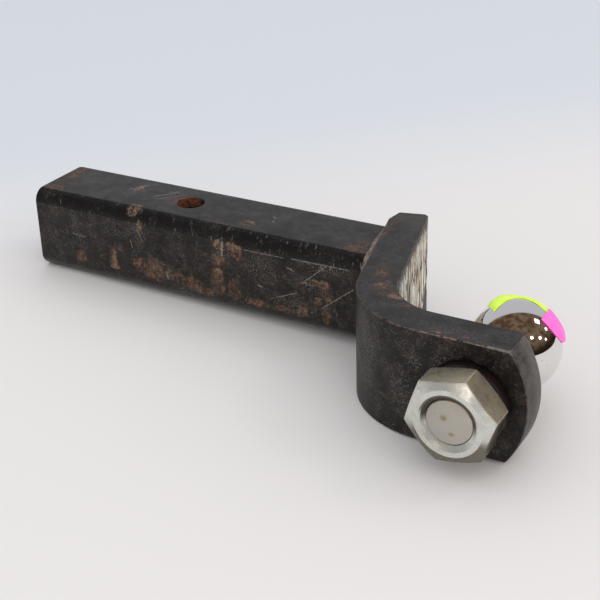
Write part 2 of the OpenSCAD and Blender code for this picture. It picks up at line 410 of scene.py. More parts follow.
def shank_wear(g, colour, rough, bare, tan):
    """The shank's upper corner, with light wear nicks over a painted dark reflection; its smooth lower corner,
    darkened as painted shade; and the scale in its pin hole and bore.
    """
    x, y, z = g.split(g.mm)
    ty, tz = g.split(g.ragged(1.6, 1.4))[1:3]
    band = g.times(g.fade(ty, -18.3, -19.2), g.fade(tz, 17.2, 18.2))
    strokes = g.vector("MULTIPLY", g.mm, (1, 0.16, 0.16))
    nicks = g.times(g.fade(g.noise(0.75, 3, 0.6, at=strokes), 0.58, 0.66), g.fade(g.noise(8, 3), 0.46, 0.58))
    band = g.times(band, g.fade(tan, 0.2, 0.6, 1, 0))
    # painted dark reflection: the rounded upper corner is painted near black, as it reflects the dim room; the
    # light nicks on it are real wear
    dark = g.mix(g.times(nicks, 0.75), (0.006, 0.006, 0.006), (0.15, 0.14, 0.13))
    colour = g.mix(g.times(band, 0.92), colour, dark)
    rough = g.math("ADD", rough, g.times(band, 0.2))
    bare = g.times(bare, g.fade(band, 0, 1, 1, 0.35))

    # painted shade: the lower front corner, in shadow over the floor, is darkened to near black as well as made
    # glossier
    lower = g.times(g.fade(y, -21, -23), g.fade(z, -18.5, -20.5))
    rough = g.math("SUBTRACT", rough, g.times(lower, 0.28))
    colour = g.mix(g.times(lower, 0.7), colour, (0.01, 0.01, 0.011))

    hole = g.fade(g.math("SQRT", g.math("ADD", g.times(x, x), g.times(y, y))), 8.5, 8.25)
    hollow = g.fade(g.math("MAXIMUM", g.math("ABSOLUTE", y), g.math("ABSOLUTE", z)), 19.4, 19.2)
    scale = g.mix(g.fade(g.noise(1.6, 5, 0.7), 0.35, 0.65), (0.045, 0.016, 0.009), (0.2, 0.07, 0.03))
    scale = g.mix(g.fade(x, -1, 5), scale, (0.012, 0.009, 0.008))
    colour = g.mix(hole, colour, scale)
    inner = g.mix(g.fade(g.noise(5, 6, 0.7), 0.35, 0.65), (0.035, 0.022, 0.016), (0.13, 0.07, 0.042))
    colour = g.mix(hollow, colour, inner)
    bare = g.times(bare, g.fade(g.most(hole, hollow), 0, 1, 1, 0))
    return colour, g.math("MAXIMUM", rough, g.times(g.most(hole, hollow), 0.8)), bare


def plate_wear(g, colour, torn, top):
    """The plate's worn edges, its greyer sawn tip, and the browner top of its leg."""
    x, y = g.split(g.mm)[0:2]
    nx, _, nz = g.facing()
    rounding = g.times(g.fade(nz, 0.1, 0.3), g.fade(nz, 0.985, 0.9))
    worn = g.times(rounding, g.fade(g.noise(3.0, 5, 0.75), 0.42, 0.56), g.fade(x, 150, 225, 0.3, 0.85))
    colour = g.mix(worn, colour, (0.22, 0.17, 0.135))
    tip = g.times(g.fade(nx, 0.35, 0.6), g.fade(x, 225, 232))
    tint = g.mix(g.fade(g.noise(5, 5, 0.65), 0.35, 0.65), (0.03, 0.026, 0.022), (0.075, 0.064, 0.052))
    tint = g.mix(g.fade(g.vector("DOT_PRODUCT", torn, (0, 1, 0)), -92.5, -95), tint, (0.17, 0.125, 0.085))
    tint = g.mix(g.fade(y, -84, -79), tint, (0.10, 0.094, 0.086))
    colour = g.mix(g.times(tip, 0.85), colour, tint)
    crown = g.times(g.fade(y, 10, 24), top)
    return g.mix(g.times(crown, 0.7), colour, (0.052, 0.043, 0.03))


def black_paint(name, marks, rust_share, rust_soft, on_shank):
    """Old black paint on hot-rolled steel, with rusty and tan patches, scratches, scuffs and wear."""
    rust_at, tan_at, line_at, scuff_at = marks
    g = new_surface(name)
    torn = g.ragged(4.0, 5.5, at=g.ragged(1.1, 1.6))
    top = g.fade(g.facing()[2], 0.75, 0.97)
    cloud = g.noise(13, 6, 0.62, swirl=0.4)
    mottle = g.noise(2.6, 5, 0.68, swirl=0.5)
    grit = g.noise(0.6, 3, 0.7)
    black = steel_black(g, top, cloud, mottle, grit)

    brown = g.mix(g.fade(g.noise(3.2, 5, 0.72), 0.36, 0.64), (0.055, 0.031, 0.02), (0.25, 0.125, 0.068))
    brown = g.mix(g.fade(g.noise(0.9, 4, 0.7), 0.5, 0.66), brown, (0.022, 0.015, 0.012))
    rust = rust_patches(g, torn, top, rust_at, rust_share, rust_soft)
    tan = g.blotches(torn, tan_at, 0.4)
    tan = g.times(tan, g.fade(g.noise(1.3, 6, 0.72), 0.42, 0.6))
    bare = bare_steel(g, torn, line_at, scuff_at)

    colour = g.mix(g.times(rust, 0.9), black, brown)
    rough = g.math("ADD", g.fade(cloud, 0.3, 0.7, 0.5, 0.4), g.times(rust, 0.25))
    if on_shank:
        colour, rough, bare = shank_wear(g, colour, rough, bare, tan)
    buff = g.mix(g.noise(0.9, 4, 0.7), (0.1, 0.05, 0.025), (0.42, 0.26, 0.14))
    colour = g.mix(g.times(tan, 0.8), colour, buff)
    colour = g.mix(g.times(bare, 0.75), colour, (0.3, 0.262, 0.225))
    if not on_shank:
        colour = plate_wear(g, colour, torn, top)
    rough = g.math("SUBTRACT", rough, g.times(bare, 0.1))

    height = g.math("ADD", g.times(g.noise(4, 5, 0.6), 0.5), g.times(grit, 0.14))
    height = g.math("SUBTRACT", height, g.times(g.most(rust, tan), 0.28))
    height = g.math("SUBTRACT", height, g.times(bare, 0.15))
    return g.finish(colour, rough, normal=g.bump(height, 0.00035, 0.75), specular=0.27)


def weld_metal():
    """Painted weld bead with rust coming through."""
    g = new_surface("weld_bead")
    rust = g.fade(g.noise(2.4, 6, 0.7, swirl=0.6), 0.4, 0.6)
    tone = g.mix(g.noise(0.8, 4, 0.7), (0.16, 0.1, 0.065), (0.44, 0.31, 0.22))
    colour = g.mix(rust, (0.045, 0.038, 0.034), tone)
    height = g.noise(0.7, 5, 0.7)
    return g.finish(colour, g.fade(rust, 0, 1, 0.45, 0.8), normal=g.bump(height, 0.0003, 0.8))


def chrome():
    """Polished chrome with pin-prick rust. The flange and neck are dull, and the stud is bright metal."""
    g = new_surface("ball_chrome")
    y = g.split(g.mm)[1]
    below = g.fade(y, -50, -56)
    threads = g.fade(y, -71.5, -72.5)
    pits = g.times(g.fade(g.cells(3.4), 0.11, 0.05), g.fade(g.noise(11, 2), 0.55, 0.62))
    smear = g.noise(9, 4, 0.6, swirl=0.8)
    colour = g.mix(g.times(below, 0.85), (0.80, 0.79, 0.775), (0.13, 0.1, 0.075))
    colour = g.mix(threads, colour, (0.6, 0.585, 0.535))
    colour = g.mix(g.times(pits, 0.8), colour, (0.1, 0.05, 0.03))
    spots = g.most(
        g.blotch(g.ragged(1.2, 1.2), (214.8, -116.3, 1.8), (1.5, 1, 1.3), 1.5),
        g.blotch(g.ragged(1.2, 1.2), (218.8, -116.3, -6.0), (1.2, 1, 0.8), 1.8),
    )
    colour = g.mix(g.times(spots, 0.7), colour, (0.36, 0.24, 0.07))
    rough = g.fade(smear, 0.3, 0.75, 0.025, 0.085)
    rough = g.math("ADD", rough, g.times(below, 0.25))
    ny = g.facing()[1]
    rough = g.math("ADD", rough, g.times(threads, g.fade(g.math("ABSOLUTE", ny), 0.85, 0.98, 0.08, 0.3)))
    grain = g.times(g.noise(0.5, 3, 0.6), g.fade(y, -71, -74))
    return g.finish(colour, rough, metallic=1.0, normal=g.bump(grain, 0.00004, 0.4))


def zinc(name, light, dark, roughness, yellowed, stained):
    """Zinc plating with yellowed, dirty flanks, and painted shade: dark on faces that look down and in the
    throat of the thread.
    """
    g = new_surface(name)
    ny, nz = g.facing()[1:3]
    across = g.vector("MULTIPLY", g.vector("SUBTRACT", g.mm, tuple(BALL * 1000)), (1, 0, 1))
    radius = g.vector("LENGTH", across)
    flank = g.times(g.fade(g.math("ABSOLUTE", ny), 0.7, 0.5), g.fade(radius, 16, 17))
    # painted shade: the throat next to the stud is darkened on its upper side, where the gap lies in shadow
    throat = g.times(g.fade(radius, 14.2, 13.6), g.fade(nz, 0.25, -0.1))
    dirt = g.fade(g.noise(5, 6, 0.65, swirl=0.7), 0.35, 0.7)
    tarnish = g.mix(g.fade(g.noise(6, 4, 0.6), 0.35, 0.65), yellowed, stained)
    colour = g.mix(g.times(flank, 0.85), light, tarnish)
    colour = g.mix(g.times(dirt, 0.45), colour, dark)
    # painted shade: faces that look down, such as the nut's lower bevel, are darkened to olive, as the shadowed
    # floor they face
    under = g.times(g.fade(nz, -0.04, -0.2), g.fade(g.math("ABSOLUTE", ny), 0.985, 0.95))
    colour = g.mix(g.times(under, 0.85), colour, (0.085, 0.07, 0.04))
    # painted shade in the throat
    colour = g.mix(throat, colour, (0.06, 0.05, 0.04))
    rough = g.math("ADD", g.times(dirt, 0.16), roughness)
    height = g.math("ADD", g.noise(0.45, 3, 0.6), g.times(g.noise(3.0, 3, 0.5), 1.5))
    return g.finish(colour, rough, metallic=g.fade(flank, 0, 1, 0.55, 0.8),
                    normal=g.bump(height, 0.00004, 0.4))


def film(name, colour, shade, painted_glow):
    """Fluorescent tape or paper, with a little painted glow: it emits light of its own colour."""
    g = new_surface(name)
    fibre = g.noise(0.35, 4, 0.7)
    mottled = g.mix(g.fade(g.noise(4, 4, 0.6), 0.3, 0.75), colour, shade)
    normal = g.bump(g.math("ADD", fibre, g.times(g.noise(2.5, 3), 2)), 0.00006, 0.5)
    # painted glow: the film emits a little light in its own mottled colour
    return g.finish(mottled, 0.5, normal=normal, specular=0.15, Emission_Color=mottled,
                    Emission_Strength=painted_glow)


def old_label():
    """Torn paper in streaks of cream, white, grey and brown. The lowest strips, on the leg, are dried glue."""
    g = new_surface("old_label")
    along = g.vector("MULTIPLY", g.mm, (1, 1, 0.12))
    streak = g.noise(2.2, 5, 0.7, at=along)
    wide = g.noise(7, 3, 0.6, at=along)
    colour = g.mix(g.fade(streak, 0.38, 0.6), (0.30, 0.22, 0.13), (0.86, 0.82, 0.70))
    colour = g.mix(g.fade(wide, 0.52, 0.68), colour, (0.60, 0.64, 0.64))
    colour = g.mix(g.fade(g.noise(2.6, 4, 0.7, at=along), 0.56, 0.62), colour, (0.11, 0.07, 0.035))
    out = g.vector("DOT_PRODUCT", g.mm, (math.cos(LEAN), math.sin(LEAN), 0))
    face = 1000 * (PLATE_X * math.cos(LEAN) + PLATE_T)
    glue = g.fade(out, face + 0.05, face + 0.04)
    colour = g.mix(glue, colour, g.mix(g.fade(streak, 0.4, 0.6), (0.05, 0.035, 0.02), (0.3, 0.23, 0.14)))
    return g.finish(colour, 0.7, normal=g.bump(streak, 0.0002, 0.6))


shank_marks = (SHANK_RUST, SHANK_TAN, SHANK_LINES, SHANK_SCUFFS)
plate_marks = (PLATE_RUST, PLATE_TAN, PLATE_LINES, PLATE_SCUFFS)
shank_paint = black_paint("shank_paint", shank_marks, 0.04, 0.7, on_shank=True)
plate_paint = black_paint("plate_paint", plate_marks, 0.0, 0.9, on_shank=False)
weld_bead = weld_metal()
ball_chrome = chrome()
nut_flank = ((0.56, 0.48, 0.29), (0.4, 0.34, 0.28))
nut_zinc = zinc("zinc_plate", (0.62, 0.63, 0.585), (0.42, 0.395, 0.32), 0.24, *nut_flank)
washer_flank = ((0.05, 0.03, 0.03), (0.03, 0.02, 0.02))
washer_zinc = zinc("dark_zinc", (0.06, 0.045, 0.045), (0.035, 0.015, 0.018), 0.5, *washer_flank)
# the last number is the strength of the painted glow
tape_film = film("yellow_tape", (0.62, 0.86, 0.06), (0.72, 0.92, 0.14), 0.12)
tag_film = film("pink_paper", (0.95, 0.14, 0.55), (1.0, 0.2, 0.62), 0.15)
label_paper = old_label()


# ---------------- objects and mesh tools
def new_object(name, data):
    obj = bpy.data.objects.new(name, data)
    scene.collection.objects.link(obj)
    return obj


def new_mesh(name, verts, faces):
    mesh = bpy.data.meshes.new(name)
    mesh.from_pydata(verts, [], faces)
    return mesh


def add_piece(name, verts, faces, material, body, slot, *nodes):
    """A new mesh piece on a CAD body, finished with material. It stands for nodes. slot is not used."""
    mesh = new_mesh(name, verts, faces)
    work = bmesh.new()
    work.from_mesh(mesh)
    bmesh.ops.remove_doubles(work, verts=work.verts, dist=1e-7)
    bmesh.ops.recalc_face_normals(work, faces=work.faces)
    work.to_mesh(mesh)
    work.free()
    mesh.materials.append(material)
    obj = new_object(name, mesh)
    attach(obj, body)
    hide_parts(*nodes)
    smooth(obj)
    return obj


def smooth(obj, sharp_deg=32):
    """Smooth shading, apart from edges sharper than sharp_deg."""
    obj.data.polygons.foreach_set("use_smooth", [True] * len(obj.data.polygons))
    obj.data.set_sharp_from_angle(angle=math.radians(sharp_deg))


def cut(obj, verts, faces):
    """Takes a closed solid out of obj."""
    cutter = new_object("cutter", new_mesh("cutter", verts, faces))
    tool = obj.modifiers.new("cut", "BOOLEAN")
    tool.operation = "DIFFERENCE"
    tool.solver = "EXACT"
    tool.object = cutter
    bpy.context.view_layer.update()
    done = bpy.data.meshes.new_from_object(obj.evaluated_get(bpy.context.evaluated_depsgraph_get()))
    obj.modifiers.clear()
    obj.data = done
    bpy.data.objects.remove(cutter)


def round_edges(obj, radius_at, segments, angle_deg=40):
    """Rounds obj's edges that are sharper than angle_deg, with normals that keep flat faces flat.

    radius_at(point) is the radius that an edge gets there.
    """
    work = bmesh.new()
    work.from_mesh(obj.data)
    weight = work.edges.layers.float.new("bevel_weight_edge")
    sharp = [e for e in work.edges if e.calc_face_angle(0) > math.radians(angle_deg)]
    radii = [min(radius_at(v.co) for v in e.verts) for e in sharp]
    for edge, radius in zip(sharp, radii):
        edge[weight] = radius / max(radii)
    work.to_mesh(obj.data)
    work.free()
    tool = obj.modifiers.new("round", "BEVEL")
    tool.width = max(radii)
    tool.segments = segments
    tool.limit_method = "WEIGHT"
    tool.harden_normals = True
    tool.miter_outer = "MITER_ARC"


def loft(rings, loop=False):
    """Vertices and faces of a skin over rings of points. Its ends are capped, or joined in a loop."""
    n = len(rings[0])
    verts = [tuple(p) for ring in rings for p in ring]
    faces = []
    for i in range(len(rings) if loop else len(rings) - 1):
        a, b = i * n, (i + 1) % len(rings) * n
        faces += [(a + j, a + (j + 1) % n, b + (j + 1) % n, b + j) for j in range(n)]
    if not loop:
        faces += [tuple(reversed(range(n))), tuple(range(len(verts) - n, len(verts)))]
    return verts, faces


def cylinder(centre, axis, radius, half_length, steps=96):
    """A cylinder along Y or Z."""
    side = Vector((1, 0, 0))
    other = axis.cross(side)
    turn = [2 * math.pi * i / steps for i in range(steps)]
    return loft([
        [centre + axis * h + radius * (side * math.cos(a) + other * math.sin(a)) for a in turn]
        for h in (-half_length, half_length)
    ])


def on_ball_axis(radius, angle, height):
    """A point round the stud's axis. Angle 0 is +X, right-handed about +Y. Height is from the seat."""
    return Vector((BALL.x + radius * math.cos(angle), TONGUE_IN + height, -radius * math.sin(angle)))


def thread(angle, height):
    """Radius of the stud's right-hand thread."""
    turn = (height / PITCH - angle / (2 * math.pi)) % 1.0
    crest = min(1.0, max(0.0, abs(turn - 0.5) * 2.6 - 0.15))
    return STUD_R - THREAD_DEPTH * (1 - crest)


# ---------------- shank
def round_square(half, radius, steps=10):
    """(y, z) points round a square with round corners."""
    points = []
    for corner in range(4):
        middle = math.radians(45 + 90 * corner)
        cy = math.copysign(half - radius, math.cos(middle))
        cz = math.copysign(half - radius, math.sin(middle))
        for i in range(steps + 1):
            a = math.radians(90 * corner + 90 * i / steps)
            points.append((cy + radius * math.cos(a), cz + radius * math.sin(a)))
    return points


def leg_face_x(y):
    """Where the leg's outer face is, at height y. It slopes away at the bevel on the leg's end."""
    (x0, y0), (x1, y1) = leg_point(0, LEG_OVER - BEVEL_UP), leg_point(LEG_BEVEL, LEG_OVER)
    return x0 + (y - y0) * (x1 - x0) / (y1 - y0) if y > y0 else PLATE_X - y * math.tan(LEAN)


def build_shank():
    """The square tube: rounded at its free end, and cut to the leg's lean at the other."""
    inner_half = HALF_W - SHANK_WALL
    inner_r = SHANK_R - SHANK_WALL

    def free_end(half, radius, end_r, way):
        """Rings round the free end, from its face to the full size. The end's edge has radius end_r."""
        rings = []
        for i in range(5):
            a = math.radians(90 * i / 4)
            inset = way * end_r * (1 - math.sin(a))
            x = shank_low.x + end_r * (1 - math.cos(a))
            rings.append([(x, y, z) for y, z in round_square(half - inset, radius - inset)])
        return rings

    rings = free_end(HALF_W, SHANK_R, SHANK_END_R, 1)
    for shape in (round_square(HALF_W, SHANK_R), round_square(inner_half, inner_r)):
        rings.append([(leg_face_x(y), y, z) for y, z in shape])
    rings += reversed(free_end(inner_half, inner_r, 0.6 * SHANK_END_R, -1))
    shank = add_piece("shank", *loft(rings, loop=True), shank_paint, "root", "black_paint", "shank_tube")
    cut(shank, *cylinder(Vector((0, 0, 0)), Vector((0, 0, 1)), PIN_R, HALF_W * 2))
    round_edges(shank, lambda p: HOLE_EDGE_R, 2, 50)
    smooth(shank)


# ---------------- drop plate
def leg_point(depth, up):
    """A point of the leg in plan: depth from its outer face, and height along it above the shank's axis."""
    return (PLATE_X + depth * math.cos(LEAN) - up * math.sin(LEAN),
            depth * math.sin(LEAN) + up * math.cos(LEAN))


def bend_arc(radius, steps=48):
    """Plan points round the bend, from the leg to the tongue."""
    start, end = math.pi + LEAN, 1.5 * math.pi
    angles = [start + (end - start) * i / steps for i in range(steps + 1)]
    return [(BEND_X + radius * math.cos(a), BEND_Y + radius * math.sin(a)) for a in angles]


def build_plate():
    """The bar's outline in plan, stood up across its width, with a round tip on the tongue."""
    steps = 32
    reach = [-HALF_PLATE + 2 * HALF_PLATE * i / steps for i in range(steps + 1)]
    tip = [(TIP_X - TIP_R + math.sqrt(TIP_R ** 2 - z ** 2), z) for z in reach]
    tip_low_x = tip[0][0]
    outer = [leg_point(LEG_BEVEL, LEG_OVER), leg_point(0, LEG_OVER - BEVEL_UP)] + bend_arc(BEND_OUT)
    half_bevel = LEG_BEVEL / 2
    inner = bend_arc(BEND_IN)[::-1]
    inner += [leg_point(PLATE_T, LEG_OVER - half_bevel), leg_point(PLATE_T - half_bevel, LEG_OVER)]
    outline = outer + [(tip_low_x, TONGUE_OUT), (tip_low_x, TONGUE_IN)] + inner
    count = len(outline)
    verts = [(x, y, z) for z in (-HALF_PLATE, HALF_PLATE) for x, y in outline]
    out_tip, in_tip = len(outer), len(outer) + 1
    faces = [tuple(range(count)), tuple(reversed(range(count, 2 * count)))]
    for i in range(count):
        j = (i + 1) % count
        if i not in (out_tip - 1, out_tip, in_tip):
            faces.append((i, j, count + j, count + i))
    edges = {}
    for side, y in (("out", TONGUE_OUT), ("in", TONGUE_IN)):
        first = out_tip if side == "out" else in_tip
        edges[side] = [first] + list(range(len(verts), len(verts) + steps - 1)) + [count + first]
        verts += [(x, y, z) for x, z in tip[1:-1]]
    faces.append((out_tip - 1, *edges["out"], count + out_tip - 1))
    faces.append((in_tip + 1, *edges["in"], count + in_tip + 1))
    for i in range(steps):
        faces.append((edges["out"][i], edges["out"][i + 1], edges["in"][i + 1], edges["in"][i]))
    plate = add_piece("plate", verts, faces, plate_paint, "root", "black_paint", "drop_plate")
    middle = Vector((BALL.x, TONGUE_OUT + PLATE_T / 2, 0))
    cut(plate, *cylinder(middle, Vector((0, 1, 0)), STUD_HOLE_R, PLATE_T))

    def radius_at(p):
        if math.hypot(p.x - BALL.x, p.z) < STUD_HOLE_R + 0.0001:
            return HOLE_EDGE_R
        back_of_tip = abs(p.y - TONGUE_IN) < 1e-5 and p.x > tip_low_x - 1e-5
        return TIP_BACK_R if back_of_tip else EDGE_R

    round_edges(plate, radius_at, 4)
    smooth(plate)


# ---------------- welds
BEAD_STEP = 0.0004
BEAD_RIPPLE = 0.0023
BEAD_TUCK = 0.0002


def weld_reach(y, ny, nz):
    """How far the bead runs up the plate and along the shank, by place and by the way the face looks."""
    level, near, far = abs(nz), max(0.0, -ny), max(0.0, ny)
    total = level + near + far
    small = 1 - 0.5 * min(1.0, max(0.0, (y + 0.002) / 0.018))
    plate_leg = (0.0026 * level * small + 0.0056 * near + 0.0014 * far) / total
    shank_leg = (0.0038 * level * small + 0.0060 * near + 0.0022 * far) / total
    return plate_leg, shank_leg


def shank_outline(step):
    """Points round the shank, as (distance, y, z, normal y, normal z), from the low end of its far side."""
    flat = HALF_W - SHANK_R
    side_length = 2 * flat + SHANK_R * math.pi / 2
    for i in range(int(4 * side_length / step)):
        s = i * step
        side, rest = divmod(s, side_length)
        turn = max(0.0, rest - 2 * flat) / SHANK_R
        y = HALF_W if turn == 0 else flat + SHANK_R * math.cos(turn)
        z = rest - flat if turn == 0 else flat + SHANK_R * math.sin(turn)
        base = math.radians(90 * side)
        c, n = math.cos(base), math.sin(base)
        yield s, y * c - z * n, y * n + z * c, math.cos(base + turn), math.sin(base + turn)


def bead_ring(s, y, z, ny, nz):
    """The bead's outline where it passes a point of the shank."""
    curve_steps = 12
    plate_leg, shank_leg = weld_reach(y, ny, nz)
    wander = noise.noise(Vector((y * 160, z * 160, 3.1)))
    toe = noise.noise(Vector((y * 420, z * 420, 8.7)))
    profile = []
    for i in range(curve_steps + 1):
        a = math.pi / 2 * i / curve_steps
        phase = s / BEAD_RIPPLE + 0.55 * math.sin(2 * a) + 0.4 * wander
        wave = 1 - abs((phase % 1.0) * 2 - 1) ** 2
        size = 1 + 0.10 * wander + 0.06 * toe + 0.07 * wave * math.sin(2 * a)
        profile.append([plate_leg * size * math.sin(a) ** 1.25, shank_leg * size * math.cos(a) ** 1.25])
    profile[0][0] = profile[-1][1] = -BEAD_TUCK
    profile.append([-2 * BEAD_TUCK, -2 * BEAD_TUCK])
    points = [(y + ny * up, z + nz * up, back) for up, back in profile]
    return [(leg_face_x(py) - back, py, pz) for py, pz, back in points]


def build_welds():
    """One rippled bead round the shank, in four runs that meet at the middles of its corners."""
    rings = [bead_ring(*place) for place in shank_outline(BEAD_STEP)]
    quarter = len(rings) / 4
    corner = SHANK_R * math.pi / 4 / BEAD_STEP
    for i, run in enumerate(("far", "top", "near", "bottom")):
        first, last = round(i * quarter - corner), round((i + 1) * quarter - corner)
        found = [rings[j % len(rings)] for j in range(first, last + 1)]
        add_piece(f"weld_run_{run}", *loft(found), weld_bead, "root", "weld_bead", f"weld_{run}")


# ---------------- ball, nut and washer
def build_ball():
    """One turned piece: threaded stud, flange with two flats, waisted neck and ball."""
    steps = 144
    angles = [2 * math.pi * i / steps for i in range(steps)]
    corner = math.acos(FLANGE_FLAT / FLANGE_R)
    for target in (corner, math.pi - corner, math.pi + corner, 2 * math.pi - corner):
        nearest = min(range(steps), key=lambda i: abs(angles[i] - target))
        angles[nearest] = target

    def ring(height, radius):
        return [on_ball_axis(radius, a, height) for a in angles]

    def flange_ring(height, radius):
        return [on_ball_axis(min(radius, FLANGE_FLAT / max(abs(math.cos(a)), 1e-6)), a, height)
                for a in angles]

    def stud_ring(height):
        bevel = STUD_R - STUD_BEVEL + (height - STUD_END)
        run_out = min(1.0, max(0.0, (THREAD_TOP - height) / PITCH))
        radii = [min(bevel, STUD_R - run_out * (STUD_R - thread(a, height))) for a in angles]
        return [on_ball_axis(r, a, height) for r, a in zip(radii, angles)]

    rings = [ring(STUD_END, STUD_R - STUD_BEVEL - 0.0003), ring(STUD_END + 0.0001, STUD_R - STUD_BEVEL)]
    row = PITCH / 8
    count = int((THREAD_TOP - STUD_END) / row)
    rings += [stud_ring(STUD_END + 0.0001 + row * i) for i in range(1, count + 1)]
    rings += [ring(THREAD_TOP, STUD_R), ring(-0.0002, STUD_R), ring(0, STUD_R + 0.0002)]
    flange = [
        (0, 0.0006), (0.0002, 0.0002), (0.0006, 0),
        (FLANGE_H - 0.002, 0), (FLANGE_H - 0.0012, 0.0008), (FLANGE_H - 0.0003, 0.0032),
    ]
    rings += [flange_ring(height, FLANGE_R - inset) for height, inset in flange]
    rings.append(ring(FLANGE_H, FLANGE_R - 0.0042))
    for i in range(9):
        a = math.radians(90 * i / 8)
        rings.append(ring(FLANGE_H + WAIST_R * (1 - math.cos(a)), NECK_R + WAIST_R * (1 - math.sin(a))))
    under = math.asin(NECK_R / BALL_R)
    rings.append(ring(BALL_H - BALL_R * math.cos(under) - 0.0008, NECK_R + 0.0002))
    top = math.asin(BALL_FLAT_R / BALL_R)
    rows = 56
    for i in range(1, rows + 1):
        a = under + (math.pi - top - under) * i / rows
        rings.append(ring(BALL_H - BALL_R * math.cos(a), BALL_R * math.sin(a)))
    flat = BALL_H + BALL_R * math.cos(top)
    rings.append(ring(flat + 0.00004, BALL_FLAT_R - 0.0004))
    add_piece("ball_and_stud", *loft(rings), ball_chrome, "ball", "ball_chrome", "hitch_ball")


def build_nut():
    """A hexagon with bevelled corners at both faces and a real thread inside."""
    per_side = 24
    angles = [-NUT_TURN + 2 * math.pi * i / (6 * per_side) for i in range(6 * per_side)]
    slope = math.tan(NUT_BEVEL)
    sink_slope = 0.6

    def hexagon(a):
        return NUT_FLAT / math.cos((a + NUT_TURN) % (math.pi / 3) - math.pi / 6)

    def ring(height, radius):
        return [on_ball_axis(radius, a, height) for a in angles]

    def rim(face, rise):
        return [on_ball_axis(hexagon(a), a, face + (hexagon(a) - NUT_FACE_R) * rise) for a in angles]

    def bore(height):
        depth = min(height - NUT_FACE, NUT_SEAT - height)
        sink = SINK_R - depth / sink_slope
        return [on_ball_axis(max(sink, thread(a, height) + THREAD_GAP), a, height) for a in angles]

    rings = [ring(NUT_FACE, SINK_R), ring(NUT_FACE, NUT_FACE_R), rim(NUT_FACE, slope), rim(NUT_SEAT, -slope)]
    rings += [ring(NUT_SEAT, NUT_FACE_R), ring(NUT_SEAT, SINK_R)]
    count = int((NUT_SEAT - NUT_FACE) / (PITCH / 8))
    rings += [bore(NUT_SEAT + (NUT_FACE - NUT_SEAT) * i / count) for i in range(1, count)]
    nut = add_piece("nut", *loft(rings, loop=True), nut_zinc, "nut", "zinc_plate", "hex_nut")
    round_edges(nut, lambda p: 0.0005 if math.hypot(p.x - BALL.x, p.z) > NUT_FACE_R + 0.0006 else 0, 2, 20)
    smooth(nut, 15)


def build_washer():
    """A split spring washer, pressed flat, with its slot on a slant."""
    steps = 140
    slot_angle = math.radians(115)
    half_gap = 0.0012
    slant = math.tan(math.radians(25))
    middle_h = (WASHER_NEAR + WASHER_FAR) / 2
    middle_r = (WASHER_OUT + WASHER_IN) / 2
    chamfer = 0.0007
    section = []
    for r, h, sr, sh in (
        (WASHER_IN, WASHER_NEAR, 1, 1), (WASHER_OUT, WASHER_NEAR, -1, 1),
        (WASHER_OUT, WASHER_FAR, -1, -1), (WASHER_IN, WASHER_FAR, 1, -1),
    ):
        pair = [(r + sr * chamfer, h), (r + sr * chamfer * 0.3, h + sh * chamfer * 0.3),
                (r, h + sh * chamfer)]
        section += pair if sr != sh else pair[::-1]
    rings = []
    for i in range(steps + 1):
        share = i / steps
        ring = []
        for r, h in section:
            shift = -(h - middle_h) * slant / middle_r
            start = slot_angle + half_gap / middle_r + shift
            end = slot_angle + 2 * math.pi - half_gap / middle_r + shift
            ring.append(on_ball_axis(r, start + (end - start) * share, h))
        rings.append(ring)
    add_piece("spring_washer", *loft(rings), washer_zinc, "washer", "dark_zinc", "lock_washer")


# ---------------- tape, tag and old label
GLUE_THICKNESS = 0.00003
LABEL_SINK = 0.00005


def on_ball(x, y, lift):
    """The point of the ball's upper side over plan offset (x, y) from its centre, lift above the surface."""
    up = math.sqrt(max(BALL_R ** 2 - x ** 2 - y ** 2, 0))
    return BALL + Vector((x, y, up)).normalized() * (BALL_R + lift)


def film_patch(corners, steps_u, steps_v, thickness, lift, bulge=lambda u, v: 0.0):
    """A thin closed film over a four-sided patch of the ball.

    lift(u, v) is how far it stands off the ball, and bulge(u, v) moves it along Y.
    """
    def place(u, v, extra):
        a = corners[0].lerp(corners[1], u)
        b = corners[3].lerp(corners[2], u)
        way = (a.lerp(b, v) + Vector((0, bulge(u, v), 0)) - BALL).normalized()
        return BALL + way * (BALL_R + lift(u, v) + extra)

    verts, faces = [], []
    grid = [(i / steps_u, j / steps_v) for j in range(steps_v + 1) for i in range(steps_u + 1)]
    for extra in (0.0, thickness):
        verts += [tuple(place(u, v, extra)) for u, v in grid]
    row, layer = steps_u + 1, (steps_u + 1) * (steps_v + 1)
    for j in range(steps_v):
        for i in range(steps_u):
            a = j * row + i
            faces.append((a, a + row, a + row + 1, a + 1))
            faces.append((layer + a, layer + a + 1, layer + a + row + 1, layer + a + row))
    rim = list(range(row)) + [j * row + steps_u for j in range(1, steps_v + 1)]
    rim += ([steps_v * row + i for i in range(steps_u - 1, -1, -1)]
            + [j * row for j in range(steps_v - 1, 0, -1)])
    for a, b in zip(rim, rim[1:] + rim[:1]):
        faces.append((a, b, layer + b, layer + a))
    return verts, faces


def join(parts):
    """The vertices and faces of several meshes as one."""
    verts, faces = [], []
    for part_verts, part_faces in parts:
        faces += [tuple(i + len(verts) for i in face) for face in part_faces]
        verts += part_verts
    return verts, faces


def build_tape():
    """Two facets of stiff tape that meet at a crease. Their far edges stand off the ball."""
    def at(x, y):
        return on_ball(x / 1000, y / 1000, 0)

    def facet(corners, steps, crease_at_end):
        def lift(u, v):
            near_crease = math.sin(min(1.0, 1.8 * u) * math.pi / 2) if crease_at_end else 1 - u
            return 0.0001 + 0.0027 * v ** 0.6 * near_crease + 0.0002 * noise.noise(Vector((u * 3, v * 2, 5)))
        return film_patch(corners, steps, 14, 0.00014, lift)

    left = facet([at(-8.5, -8.5), at(-3, 9.3), at(-6, 19), at(-16.5, 2.5)], 24, True)
    right = facet([at(-3, 9.3), at(13.2, 5.6), at(15.5, 11.5), at(-6, 19)], 28, False)
    add_piece("neon_tape", *join([left, right]), tape_film, "ball", "yellow_tape", "yellow_tape")


